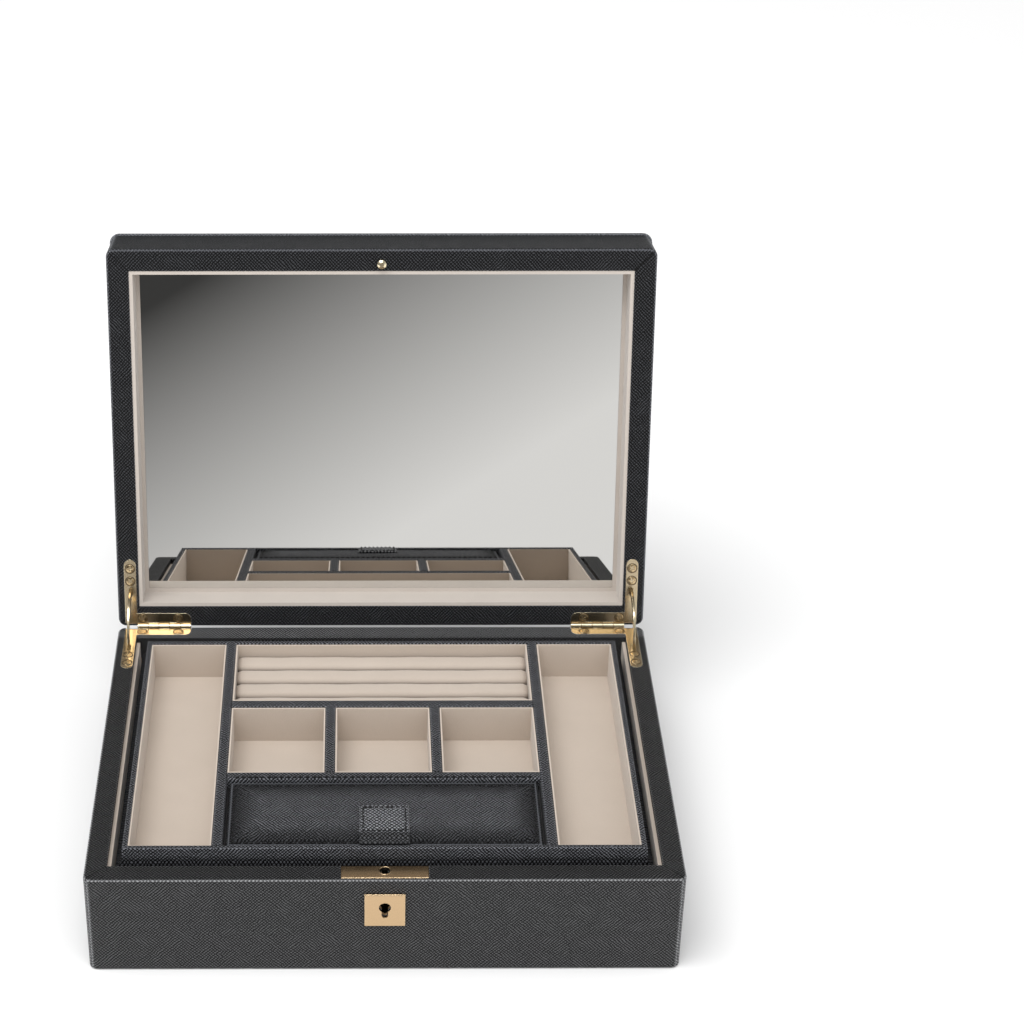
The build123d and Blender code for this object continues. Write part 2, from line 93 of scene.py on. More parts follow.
def straight_step(tree, value, start, end, low=0.0, high=1.0):
    """The same, but in a straight line."""
    step = add(tree, "ShaderNodeMapRange", Value=value)
    for socket, number in zip(list(step.inputs)[1:5], (start, end, low, high)):
        socket.default_value = number
    return step.outputs[0]


def blended(tree, share, first, second):
    """A colour that goes from first to second; each is a socket to link or an (r, g, b)."""
    mixed = add(tree, "ShaderNodeMix", {"data_type": "RGBA"}, Factor=share)
    for socket, colour in ((mixed.inputs[6], first), (mixed.inputs[7], second)):
        if isinstance(colour, bpy.types.NodeSocket):
            tree.links.new(colour, socket)
        else:
            socket.default_value = (*colour, 1.0)
    return mixed.outputs[2]


def times(colour, factor):
    """An (r, g, b) made lighter or darker."""
    return tuple(part * factor for part in colour)


def place_on(tree):
    """Where a point lies on its piece, in metres: sockets X, Y and Z."""
    spot = add(tree, "ShaderNodeTexCoord").outputs["Object"]
    return add(tree, "ShaderNodeSeparateXYZ", i0=spot).outputs


def retone(material, tone_from):
    """Puts tone_from(tree, the base colour's present socket) in place of a material's base colour."""
    tree = material.node_tree
    base = tree.nodes["Principled BSDF"].inputs["Base Color"]
    tree.links.new(tone_from(tree, base.links[0].from_socket), base)


def scaled(tree, colour, factor):
    """A colour socket times a number socket."""
    return add(tree, "ShaderNodeVectorMath", {"operation": "SCALE"}, i0=colour, Scale=factor).outputs[0]


def cover(material, *names):
    """Puts a material on CAD nodes by name."""
    for name in names:
        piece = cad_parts[name]
        piece.data.materials.clear()
        piece.data.materials.append(material)


def face_plane(tree):
    """Object coordinates laid flat on whichever side of the box a face looks to: (u, v) sockets in metres."""
    place = add(tree, "ShaderNodeTexCoord")
    spot = add(tree, "ShaderNodeSeparateXYZ", i0=place.outputs["Object"]).outputs
    turned = add(tree, "ShaderNodeSeparateXYZ", i0=place.outputs["Normal"]).outputs
    side = math_node(tree, "GREATER_THAN", math_node(tree, "ABSOLUTE", turned[0]), 0.7)
    level = math_node(tree, "GREATER_THAN", math_node(tree, "ABSOLUTE", turned[2]), 0.7)
    across = add(tree, "ShaderNodeMix", i0=side, i2=spot[0], i3=spot[1]).outputs[0]
    up = add(tree, "ShaderNodeMix", i0=level, i2=spot[2], i3=spot[1]).outputs[0]
    return across, up


def grain_group():
    """Cross-hatched grain: two sets of ridges at 45 degrees, waved by noise, with fine pores between them.

    Each set is 0.5 + 0.5 sin(2 pi (u + v) / (1.414 p)), or with u - v, p being the pitch. Height is the root
    of their product, and leans to one set or the other in patches, as strongly as Lean says, as a pressed
    grain drawn over a board does.
    """
    group = bpy.data.node_groups.new("cross grain", "ShaderNodeTree")
    sockets = group.interface
    for name, value in (("U", 0.0), ("V", 0.0), ("Pitch", 0.0011), ("Waver", 0.3), ("Lean", 0.3)):
        made = sockets.new_socket(name, in_out="INPUT", socket_type="NodeSocketFloat")
        made.default_value = value
    sockets.new_socket("Height", in_out="OUTPUT", socket_type="NodeSocketFloat")
    start = group.nodes.new("NodeGroupInput").outputs
    end = group.nodes.new("NodeGroupOutput")
    u, v, pitch, waver, lean = start[0], start[1], start[2], start[3], start[4]
    spot = add(group, "ShaderNodeCombineXYZ", X=u, Y=v).outputs[0]
    drift = add(group, "ShaderNodeTexNoise", Vector=spot, Scale=260.0, Detail=2.0).outputs["Fac"]
    bend = math_node(group, "MULTIPLY", math_node(group, "SUBTRACT", drift, 0.5), waver)
    ridges = []
    for operation in ("ADD", "SUBTRACT"):
        slanted = math_node(group, operation, u, v)
        run = math_node(group, "DIVIDE", slanted, math_node(group, "MULTIPLY", pitch, 1.414))
        waved = math_node(group, "ADD", run, math_node(group, "MULTIPLY", bend, 4.0))
        turn = math_node(group, "MULTIPLY", waved, 2 * math.pi)
        ridges.append(math_node(group, "MULTIPLY_ADD", math_node(group, "SINE", turn), 0.5, 0.5))
    patch = add(group, "ShaderNodeTexNoise", Vector=spot, Scale=85.0, Detail=2.0).outputs["Fac"]
    uneven = math_node(group, "SUBTRACT", patch, 0.5)
    tilt = math_node(group, "MULTIPLY", uneven, math_node(group, "MULTIPLY", lean, 9.0))
    hatch = math_node(group, "SQRT", math_node(group, "MULTIPLY", ridges[0], ridges[1]))
    first = add(group, "ShaderNodeClamp", Value=tilt).outputs[0]
    other = add(group, "ShaderNodeClamp", Value=math_node(group, "MULTIPLY", tilt, -1.0)).outputs[0]
    one_way = add(group, "ShaderNodeMix", i0=first, i2=hatch, i3=ridges[0]).outputs[0]
    both = add(group, "ShaderNodeMix", i0=other, i2=one_way, i3=ridges[1]).outputs[0]
    pores = add(group, "ShaderNodeTexNoise", Vector=spot, Scale=1700.0, Detail=3.0).outputs["Fac"]
    pitted = math_node(group, "MULTIPLY", math_node(group, "SUBTRACT", pores, 0.5), 0.35)
    height = math_node(group, "ADD", both, pitted)
    group.links.new(height, end.inputs["Height"])
    return group


def mitre_mask(tree, along, offset):
    """1 on the fine line where the leather of two rims meets in a corner, else 0.

    along turns a place on the piece into the shut box's depth: depth = along . place + offset, in metres.
    The line runs at 45 degrees into the box's corner, 150 mm out and 110 mm back.
    """
    spot = add(tree, "ShaderNodeTexCoord").outputs["Object"]
    depth = math_node(tree, "ADD", add(tree, "ShaderNodeVectorMath", {"operation": "DOT_PRODUCT"},
                                       i0=spot, i1=along).outputs["Value"], offset)
    across = math_node(tree, "ABSOLUTE", add(tree, "ShaderNodeSeparateXYZ", i0=spot).outputs["X"])
    apart = math_node(tree, "SUBTRACT", math_node(tree, "SUBTRACT", across, 0.150),
                      math_node(tree, "SUBTRACT", math_node(tree, "ABSOLUTE", depth), 0.110))
    return eased_step(tree, math_node(tree, "ABSOLUTE", apart), 0.00015, 0.00055, 1.0, 0.0)


def off_flat(tree, radius):
    """A mask and a normal for edges, eased to that radius.

    The mask is 1 where the eased surface is turned away from all three axes, as on an edge, and else 0.
    """
    eased = add(tree, "ShaderNodeBevel", {"samples": 6}, Radius=radius).outputs[0]
    own_frame = {"vector_type": "NORMAL", "convert_from": "WORLD", "convert_to": "OBJECT"}
    turned = add(tree, "ShaderNodeVectorTransform", own_frame, i0=eased).outputs[0]
    parts = add(tree, "ShaderNodeSeparateXYZ", i0=turned).outputs
    sizes = [math_node(tree, "ABSOLUTE", parts[axis]) for axis in range(3)]
    flat = math_node(tree, "MAXIMUM", math_node(tree, "MAXIMUM", sizes[0], sizes[1]), sizes[2])
    return eased_step(tree, flat, 0.965, 0.80), eased


def grain_leather(name, colour, pitch, depth, roughness, contrast, wear_and_edge_highlight=14.0, even=0.25, lean=0.3, mitre=None,
                  shade_low=None):
    """Black leather with the pressed grain. Its colour is the grain's own, with painted shade in the grooves
    and a painted highlight on the ridges, and its edges get a painted highlight.

    pitch and depth are the grain's, in metres. contrast sets how light its ridges are, partly a painted
    highlight, wear_and_edge_highlight how many times lighter than the skin an edge is, a painted highlight,
    and even how much of that the grooves share. mitre is for mitre_mask, and shade_low is two heights between
    which the skin darkens, a painted shade.
    """
    shine = 0.24
    made, shader, tree = new_material(name, Roughness=roughness, Specular_IOR_Level=shine)
    across, up = face_plane(tree)
    grain = add(tree, "ShaderNodeGroup", {"node_tree": cross_grain}, U=across, V=up, Pitch=pitch, Lean=lean)
    height = grain.outputs["Height"]
    edge, eased = off_flat(tree, 0.0009)
    # Painted shade and painted highlight: ridges lighter and grooves darker than the grain's own colour, edges
    # lighter still.
    ridge = straight_step(tree, height, 0.15, 0.95)
    skin = blended(tree, ridge, times(colour, 0.05), times(colour, 1.5 + 2.8 * contrast))
    worn_and_highlit = math_node(tree, "MULTIPLY", edge, math_node(tree, "MULTIPLY_ADD", ridge, 1 - even, even))
    shade = blended(tree, worn_and_highlit, skin, times(colour, wear_and_edge_highlight))
    rough = straight_step(tree, height, 0.0, 1.0, roughness + 0.35, roughness - 0.06)
    if mitre:
        line = mitre_mask(tree, *mitre)
        shade = blended(tree, line, shade, (0.001, 0.001, 0.001))
        height = math_node(tree, "SUBTRACT", height, math_node(tree, "MULTIPLY", line, 1.2))
    # Painted shade: below the heights in shade_low the skin gets darker and shines less.
    if shade_low:
        lit = eased_step(tree, place_on(tree)["Z"], *shade_low, 0.16, 1.0)
        shade = scaled(tree, shade, lit)
        tree.links.new(math_node(tree, "MULTIPLY", lit, shine), shader.inputs["Specular IOR Level"])
    bump = add(tree, "ShaderNodeBump", Strength=1.0, Distance=depth, Height=height, Normal=eased)
    tree.links.new(shade, shader.inputs["Base Color"])
    tree.links.new(bump.outputs[0], shader.inputs["Normal"])
    tree.links.new(rough, shader.inputs["Roughness"])
    return made


def rim_painted_light(tree, tone):
    """Painted light on the case's rims: painted shade makes them darker than its sides in front and at the
    sides, and a painted highlight makes them paler along the hinges.
    """
    facing = add(tree, "ShaderNodeTexCoord").outputs["Normal"]
    upward = math_node(tree, "GREATER_THAN", add(tree, "ShaderNodeSeparateXYZ", i0=facing).outputs["Z"], 0.8)
    by_depth = eased_step(tree, place_on(tree)["Y"], 0.098, 0.101, 0.62, 1.9)
    return scaled(tree, tone, add(tree, "ShaderNodeMix", i0=upward, i2=1.0, i3=by_depth).outputs[0])


cross_grain = grain_group()
hinge_y, hinge_z = 0.110, 0.0592
opening = math.radians(103.0)
grain_pitch = 0.00135
case_skin = grain_leather("case leather", (0.0245, 0.0248, 0.0256), grain_pitch, 0.00045, 0.34, contrast=0.95,
                          wear_and_edge_highlight=15.0, mitre=((0.0, 1.0, 0.0), 0.0))
# Painted shade and painted highlight on the case's rims.
retone(case_skin, rim_painted_light)
back, up = math.cos(opening), math.sin(opening)
# The lid is covered in the case's leather; its darker colour here is painted shade.
lid_skin = grain_leather("lid leather", (0.0078, 0.0081, 0.0090), grain_pitch, 0.00090, 0.36, contrast=2.1,
                         wear_and_edge_highlight=30.0, mitre=((0.0, back, -up), hinge_y - hinge_y * back + hinge_z * up))
cover(case_skin, "case_leather")
cover(lid_skin, "lid_leather")

# ---- Wooden carcass
# Boards of birch ply: the case's walls and floor, the lid's walls and top, and a stiff board in the flap. The
# leather is glued over them outside and the linings inside, so that they hardly show.


def ply_grain(tree):
    """Pale and dark bands of birch, drawn out and bent by noise."""
    spot = add(tree, "ShaderNodeTexCoord").outputs["Object"]
    rings = add(tree, "ShaderNodeTexWave", {"wave_type": "BANDS"}, Vector=spot, Scale=180.0, Distortion=6.0,
                Detail=3.0)
    return blended(tree, rings.outputs["Fac"], (0.36, 0.23, 0.12), (0.50, 0.35, 0.20))


wood, shader, tree = new_material("birch ply", Roughness=0.6)
tree.links.new(ply_grain(tree), shader.inputs["Base Color"])
cover(wood, "case_floor", "case_wall_front", "case_wall_rear", "case_wall_left", "case_wall_right",
      "lid_wall_front", "lid_wall_rear", "lid_wall_left", "lid_wall_right", "lid_top_board", "flap_board")

# ---- Felt under the case
# A sheet of green-black wool felt, cut a little smaller than the base and glued under it, so that the box does
# not mark a table.
felt, shader, tree = new_material("base felt", Base_Color=(0.02, 0.022, 0.02, 1.0), Roughness=0.95)
wool = add(tree, "ShaderNodeTexCoord").outputs["Object"]
fuzz = add(tree, "ShaderNodeTexNoise", Vector=wool, Scale=1800.0, Detail=5.0).outputs["Fac"]
nap = add(tree, "ShaderNodeBump", Strength=0.7, Distance=0.0004, Height=fuzz)
tree.links.new(nap.outputs[0], shader.inputs["Normal"])
cover(felt, "base_felt")

# ---- Suede linings
# Sueded microfibre over thin card: beige in the case, in the tray's wells and on its runners, a little greyer
# round the lid's inside, and black in the box under the flap.


def suede_cloth(name, colour):
    """Sueded cloth: fine nap by noise, soft patches where the nap lies another way, a pale sheen."""
    made, shader, tree = new_material(name, Roughness=0.92, Specular_IOR_Level=0.2, Sheen_Weight=0.25,
                                      Sheen_Roughness=0.5)
    spot = add(tree, "ShaderNodeTexCoord").outputs["Object"]
    nap = add(tree, "ShaderNodeTexNoise", Vector=spot, Scale=2600.0, Detail=4.0).outputs["Fac"]
    patch = add(tree, "ShaderNodeTexNoise", Vector=spot, Scale=45.0, Detail=3.0).outputs["Fac"]
    worn_and_highlit = math_node(tree, "MULTIPLY", patch, 0.4)
    both = math_node(tree, "ADD", math_node(tree, "MULTIPLY", nap, 0.6), worn_and_highlit)
    dark = (colour[0] * 0.86, colour[1] * 0.85, colour[2] * 0.84)
    tree.links.new(blended(tree, both, dark, times(colour, 1.12)), shader.inputs["Base Color"])
    bump = add(tree, "ShaderNodeBump", Strength=0.5, Distance=0.00025, Height=nap)
    tree.links.new(bump.outputs[0], shader.inputs["Normal"])
    return made


suede = suede_cloth("beige suede", (0.52, 0.45, 0.385))
cover(suede, "case_liner_left", "case_liner_right", "floor_lining", "storage_liners", "tray_runner_left",
      "tray_runner_right", "side_linings", "square_linings", "ring_lining")
cover(suede_cloth("lid suede", (0.50, 0.452, 0.408)), "lid_liners", "mirror_bed")
cover(suede_cloth("black suede", (0.016, 0.016, 0.017)), "flap_box_lining")

# ---- Hinges, stays and lock
# Solid drawn brass, polished and lacquered, let in flush with the rims; satin brass on the lock's two plates.
# The lock's case is blackened steel, its bolt and lever bright steel.


def polished(name, colour, roughness):
    """Polished metal: fine wandering scratches that vary its roughness, and a painted highlight that makes it
    paler on its edges.
    """
    made, shader, tree = new_material(name, Metallic=1.0, Roughness=roughness)
    spot = add(tree, "ShaderNodeTexCoord").outputs["Object"]
    wear_and_edge_highlight = add(tree, "ShaderNodeTexNoise", Vector=spot, Scale=260.0, Detail=6.0).outputs["Fac"]
    spread = straight_step(tree, wear_and_edge_highlight, 0.0, 1.0, roughness * 0.85, roughness * 1.2)
    edge, eased = off_flat(tree, 0.0004)
    # Painted highlight: the colour its edges take.
    bright = (min(colour[0] * 1.5, 0.98), min(colour[1] * 1.6, 0.92), min(colour[2] * 1.7, 0.85))
    tree.links.new(spread, shader.inputs["Roughness"])
    tree.links.new(blended(tree, edge, colour, bright), shader.inputs["Base Color"])
    tree.links.new(eased, shader.inputs["Normal"])
    return made


brass = polished("polished brass", (0.66, 0.54, 0.36), 0.20)
lock_brass = polished("satin brass", (0.585, 0.411, 0.24), 0.22)
cover(brass, "lower_leaf_left", "lower_leaf_right", "upper_leaf_left", "upper_leaf_right", "hinge_pins",
      "stay_left", "stay_right", "catch_stud")
cover(lock_brass, "escutcheon", "strike_plate")
cover(polished("blackened steel", (0.06, 0.055, 0.05), 0.45), "lock_body", "lock_cover")
cover(polished("bright steel", (0.56, 0.57, 0.58), 0.28), "lock_bolt", "lock_lever")

# ---- Hinge screws
# Sixteen countersunk brass screws with crossed slots, two in each leg and two in each arm of the leaves, each
# in a sink with a dark brass edge, a painted shade for the gap round the head. The heads stand a sixth of a
# millimetre proud, so that the lid still shuts.


def opened(points):
    """Points of the lid as it lies shut, turned up to where its stays stop it."""
    back, up = points[:, 1] - hinge_y, points[:, 2] - hinge_z
    c, s = math.cos(-opening), math.sin(-opening)
    return np.stack([points[:, 0], hinge_y + back * c - up * s, hinge_z + back * s + up * c], axis=1)


def new_piece(name, points, faces, material, body, smooth=True):
    """A finished mesh piece that rides on a body, with its faces turned outwards."""
    mesh = bpy.data.meshes.new(name)
    mesh.from_pydata(points.tolist(), [], faces)
    shell = bmesh.new()
    shell.from_mesh(mesh)
    bmesh.ops.remove_doubles(shell, verts=shell.verts, dist=0.002 * MM)
    bmesh.ops.recalc_face_normals(shell, faces=shell.faces)
    shell.to_mesh(mesh)
    shell.free()
    mesh.polygons.foreach_set("use_smooth", [smooth] * len(mesh.polygons))
    mesh.materials.append(material)
    piece = bpy.data.objects.new(name, mesh)
    bpy.context.collection.objects.link(piece)
    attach(piece, body)
    return piece


def repeated(points, faces, origin, across, along, outward):
    """One small mesh set at many places: (N, 3) arrays of points and of where its x, y and z go."""
    spread = (origin[:, None, :] + points[None, :, 0:1] * across[:, None, :]
              + points[None, :, 1:2] * along[:, None, :] + points[None, :, 2:3] * outward[:, None, :])
    many = [[i + step * len(points) for i in face] for step in range(len(origin)) for face in faces]
    return spread.reshape(-1, 3), many


def sheet_faces(rows, columns, wrap=False):
    """Quads of a grid of points, row after row; wrap joins the last column to the first."""
    row, column = np.meshgrid(np.arange(rows - 1), np.arange(columns if wrap else columns - 1), indexing="ij")
    after = (column + 1) % columns
    quads = np.stack([row * columns + column, row * columns + after,
                      (row + 1) * columns + after, (row + 1) * columns + column], axis=-1)
    return quads.reshape(-1, 4).tolist()


def rim_of(rows, columns):
    """The numbers of a grid's outermost points, in order round it."""
    index = np.arange(rows * columns).reshape(rows, columns)
    return np.concatenate([index[:, 0], index[-1, 1:], index[-2::-1, -1], index[0, -2:0:-1]])


def turned_ring(section):
    """A closed ring round Z, turned in 32 steps from a section of (radius, height) pairs in millimetres."""
    steps, rows = 32, len(section)
    section = np.array(section) * MM
    turn = np.linspace(0, 2 * math.pi, steps + 1)[:-1]
    points = np.stack([section[:, None, 0] * np.cos(turn), section[:, None, 0] * np.sin(turn),
                       np.repeat(section[:, 1:], steps, 1)], axis=-1)
    first = np.arange(steps)
    last = first + (rows - 1) * steps
    closing = np.stack([last, np.roll(last, -1), np.roll(first, -1), first], axis=1)
    return points.reshape(-1, 3), sheet_faces(rows, steps, wrap=True) + closing.tolist()


def screw_head(radius, dome, slot):
    """A disc from a square grid, x = u sqrt(1 - v^2 / 2); height dome (1 - r^2) less the crossed slots."""
    slot_half, slot_reach, skirt = 0.15, 0.64, 0.4 * MM
    steps = np.array([-1.0, -0.97, -0.9, -0.78, -0.66, -0.62, -0.4, -0.17, -0.13, 0.0])
    steps = np.concatenate([steps, -steps[-2::-1]])
    u, v = np.meshgrid(steps, steps, indexing="ij")
    x, y = u * np.sqrt(1 - v * v / 2), v * np.sqrt(1 - u * u / 2)
    narrow, far = np.minimum(np.abs(u), np.abs(v)), np.maximum(np.abs(u), np.abs(v))
    cut = (narrow < slot_half) & (far < slot_reach)
    height = dome * (1 - x * x - y * y) - slot * cut - skirt * (far > 0.99)
    points = np.stack([x * radius, y * radius, height], axis=-1).reshape(-1, 3)
    return points, sheet_faces(len(steps), len(steps)) + [rim_of(len(steps), len(steps)).tolist()]


# Brass darkened as painted shade, for the gaps round the screw heads and between the knuckles.
gap_shade_brass = polished("brass painted with gap shade", (0.11, 0.07, 0.035), 0.35)
screw_brass = polished("screw brass", (0.62, 0.46, 0.26), 0.20)
head = screw_head(2.35 * MM, 0.16 * MM, 0.60 * MM)
sink = turned_ring([(2.95, 0.0), (2.8, 0.1), (2.45, 0.06), (2.3, -0.2), (2.6, -0.3), (2.95, -0.2)])
leg_x, leg_screws, arm_y, arm_screws = 142.6, (82.5, 75.0), 105.0, (136.2, 115.9)
left = [(-leg_x, leg_screws[0]), (-leg_x, leg_screws[1]), (-arm_screws[0], arm_y), (-arm_screws[1], arm_y)]
right = [(-x, y) for x, y in left]
slot_turns = np.radians([12.0, 55.0, 30.0, 80.0, 47.0, 5.0, 66.0, 21.0])
lower_level, upper_level = 59.0, 59.4
for label, body, level, upside, more_turn in (("lower", "case", lower_level, 1.0, 0.0),
                                              ("upper", "lid", upper_level, -1.0, 0.6)):
    turns = slot_turns + more_turn
    zero = np.zeros(len(turns))
    origin = np.column_stack([left + right, np.full(len(turns), level)]) * MM
    across = np.column_stack([np.cos(turns), np.sin(turns), zero])
    along = np.column_stack([-np.sin(turns), np.cos(turns), zero]) * upside
    outward = np.column_stack([zero, zero, zero + upside])
    for kind, (points, faces), material, smooth in (("_leaf_screws", head, screw_brass, False),
                                                    ("_screw_sinks", sink, gap_shade_brass, True)):
        points, faces = repeated(points, faces, origin, across, along, outward)
        points = opened(points) if body == "lid" else points
        new_piece(label + kind, points, faces, material, body, smooth)

# ---- Gaps between the hinges' knuckles
# Each barrel is made up of five brass knuckles, 6.1 mm long, that turn on one pin. The fine gaps between them
# are painted shade: a thin ring of dark brass stands round the barrel at each.
barrel, knuckle, first_gap = 2.10, 6.1, 114.7
gap_x = first_gap + knuckle * np.arange(4)
gap_x = np.concatenate([gap_x, -gap_x]) * MM
inside, proud, half_gap = barrel - 0.3, barrel + 0.03, 0.16
points, faces = turned_ring([(inside, -half_gap), (proud, -half_gap), (proud, half_gap), (inside, half_gap)])
origin = np.column_stack([gap_x, np.full(8, hinge_y), np.full(8, hinge_z)])
straight = [np.tile(axis, (8, 1)) for axis in np.eye(3)]
points, faces = repeated(np.roll(points, 1, axis=1), faces, origin, *straight)
new_piece("knuckle_gaps", points, faces, gap_shade_brass, "case")

# ---- Ring round the strike plate's hole
# The strike plate is satin brass, let in flush with the front rim. Round the hole that takes the lid's stud,
# the brass is spun up into a low ring.
points, faces = sink
new_piece("strike_hole_rim", points * (1.12, 1.12, 1.6) + np.array([0.0, -102.6, lower_level]) * MM, faces,
          lock_brass, "case")

# ---- Mirror
# A plate of silvered glass, let into the lid and held by the turned edge of its suede border. The silver is
# very slightly warm and hardly blurs.
glass = new_material("mirror", Base_Color=(0.78, 0.77, 0.745, 1.0), Metallic=1.0, Roughness=0.015)[0]
cover(glass, "mirror")

# ---- Padded lid top
# Leather drawn over foam on the lid's top board, standing a little proud of the sides, with a line of black
# stitching six millimetres in from its edge.


def rounded_ring(half_x, half_y, corner, per_corner=8, per_side=14):
    """Points round a rectangle with rounded corners, anticlockwise from the right side, as (N, 2)."""
    turn = np.linspace(0, math.pi / 2, per_corner)
    arc = np.stack([np.cos(turn), np.sin(turn)], axis=1) * corner
    inner_x, inner_y = half_x - corner, half_y - corner
    ring = []
    for quarter, (sx, sy) in enumerate(((1, 1), (-1, 1), (-1, -1), (1, -1))):
        c, s = math.cos(quarter * math.pi / 2), math.sin(quarter * math.pi / 2)
        ring.append(arc @ np.array([[c, s], [-s, c]]) + np.array([sx * inner_x, sy * inner_y]))
    sides = []
    for quarter in range(4):
        start, end = ring[quarter][-1], ring[(quarter + 1) % 4][0]
        part = np.linspace(0, 1, per_side + 2)[1:-1, None]
        sides.append(ring[quarter])
        sides.append(start + (end - start) * part)
    return np.concatenate(sides)


def ringed_shell(half_x, half_y, corner, rings, per_side):
    """A closed shell of rounded rectangles, ring on ring: each ring is (inset from the edge, height)."""
    levels = []
    for inset, height in rings:
        inner_corner = max(corner - inset * 0.4, corner * 0.35)
        ring = rounded_ring(half_x - inset, half_y - inset, inner_corner, per_side=per_side)
        levels.append(np.column_stack([ring, np.full(len(ring), height)]))
    count = len(levels[0])
    faces = sheet_faces(len(levels), count, wrap=True)
    faces.append(list(range(count)))
    faces.append(list(range((len(levels) - 1) * count, len(levels) * count)))
    return np.concatenate(levels), faces


def stitch_line(path, up, pitch, length, width, closed=False, slant=0.12):
    """Thread along a path: one six-sided bead a stitch, a little aslant, half sunk where it goes in."""
    loop = np.vstack([path, path[:1]]) if closed else path
    step = np.linalg.norm(np.diff(loop, axis=0), axis=1)
    run = np.concatenate([[0], np.cumsum(step)])
    total = max(int(round(run[-1] / pitch)), 1)
    middle = (np.arange(total) + 0.5) * run[-1] / total
    origin = np.stack([np.interp(middle, run, loop[:, k]) for k in range(3)], axis=1)
    ahead, behind = np.minimum(middle + pitch * 0.2, run[-1]), np.maximum(middle - pitch * 0.2, 0)
    ahead = np.stack([np.interp(ahead, run, loop[:, k]) for k in range(3)], axis=1)
    behind = np.stack([np.interp(behind, run, loop[:, k]) for k in range(3)], axis=1)
    along = ahead - behind
    along /= np.linalg.norm(along, axis=1)[:, None]
    across = np.cross(np.broadcast_to(up, along.shape), along)
    across /= np.linalg.norm(across, axis=1)[:, None]
    along = along * math.cos(slant) + across * math.sin(slant)
    across = np.cross(np.broadcast_to(up, along.shape), along)
    lift = np.cross(along, across)
    turn = np.linspace(0, 2 * math.pi, 7)[:-1]
    stations = np.array([-1.0, -0.82, -0.4, 0.0, 0.4, 0.82, 1.0])
    girth = np.array([0.15, 0.7, 0.95, 1.0, 0.95, 0.7, 0.15])
    bow = 1.0 - stations ** 2 * 1.6
    bead = np.stack([
        np.repeat(stations[:, None], 6, 1) * length / 2,
        girth[:, None] * np.cos(turn)[None, :] * width / 2,
        girth[:, None] * np.sin(turn)[None, :] * width / 2 + bow[:, None] * width * 0.35,
    ], axis=-1).reshape(-1, 3)
    bead_faces = sheet_faces(7, 6, wrap=True) + [list(range(6)), list(range(36, 42))]
    return repeated(bead, bead_faces, origin, along, across, lift)


thread, shader, tree = new_material("black linen thread", Base_Color=(0.006, 0.006, 0.007, 1.0),
                                    Roughness=0.5)
spun = add(tree, "ShaderNodeTexCoord").outputs["Object"]
twist = add(tree, "ShaderNodeTexWave", {"wave_type": "BANDS", "bands_direction": "DIAGONAL"}, Vector=spun,
            Scale=1400.0)
ply = add(tree, "ShaderNodeBump", Strength=0.6, Distance=0.0001, Height=twist.outputs["Fac"])
tree.links.new(ply.outputs[0], shader.inputs["Normal"])

upwards = np.array([0.0, 0.0, 1.0])
lid_half_x, lid_half_y, lid_sides, stitch_in = 151.0, 111.0, 33.5, 6.0
side = upper_level + lid_sides
rings = [(7.0, side + 0.02), (0.9, side + 0.02), (0.25, side + 0.35), (0.0, side + 1.0), (0.2, side + 1.6),
         (0.8, side + 2.05), (1.8, side + 2.3), (4.8, side + 2.45), (5.5, side + 2.2), (6.0, side + 2.0),
         (6.5, side + 2.2), (7.4, side + 2.65), (9.5, side + 3.1), (13.0, side + 3.45), (19.0, side + 3.72),
         (28.0, side + 3.9), (45.0, side + 4.0), (75.0, side + 4.05)]
rings = [(inset * MM, height * MM) for inset, height in rings]
points, faces = ringed_shell(lid_half_x * MM, lid_half_y * MM, 5.5 * MM, rings, per_side=30)
top_skin = grain_leather("black grained leather", (0.020, 0.021, 0.023), grain_pitch, 0.00070, 0.34,
                         contrast=1.5)
lid_top = new_piece("lid_padded_top", opened(points), faces, top_skin, "lid")
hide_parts("lid_cover", "lid_pad")
seam = rounded_ring((lid_half_x - stitch_in) * MM, (lid_half_y - stitch_in) * MM, 4.5 * MM, per_side=60)
seam = np.column_stack([seam, np.full(len(seam), (side + 2.0) * MM)])
points, faces = stitch_line(seam, upwards, 3.3 * MM, 2.6 * MM, 0.62 * MM, closed=True)
new_piece("lid_top_stitching", opened(points), faces, thread, "lid")

# ---- Tray
# Leather over wooden walls and dividers, standing on side runners: glossier than the case's skin and bolder in
# its grain. From just above the case's rim downwards it is darker, a painted shade, so that the joint round
# the tray is black.
tray_leather = grain_leather("tray leather", (0.0190, 0.0196, 0.0216), 0.00138, 0.00150, 0.25, contrast=3.8,
                             wear_and_edge_highlight=16.0, even=0.0, shade_low=(0.0575, 0.0630))
cover(tray_leather, "tray_wall_front", "tray_wall_rear", "tray_wall_left", "tray_wall_right", "tray_floor",
      "long_divider_left", "long_divider_right", "cross_divider_rear", "cross_divider_front",
      "short_divider_left", "short_divider_right")

# ---- Ring rolls
# Four rolls of foam, wrapped in suede and pressed side by side into the tray's rear well, so that a ring can
# be pushed into the dark slit between one roll and the next.


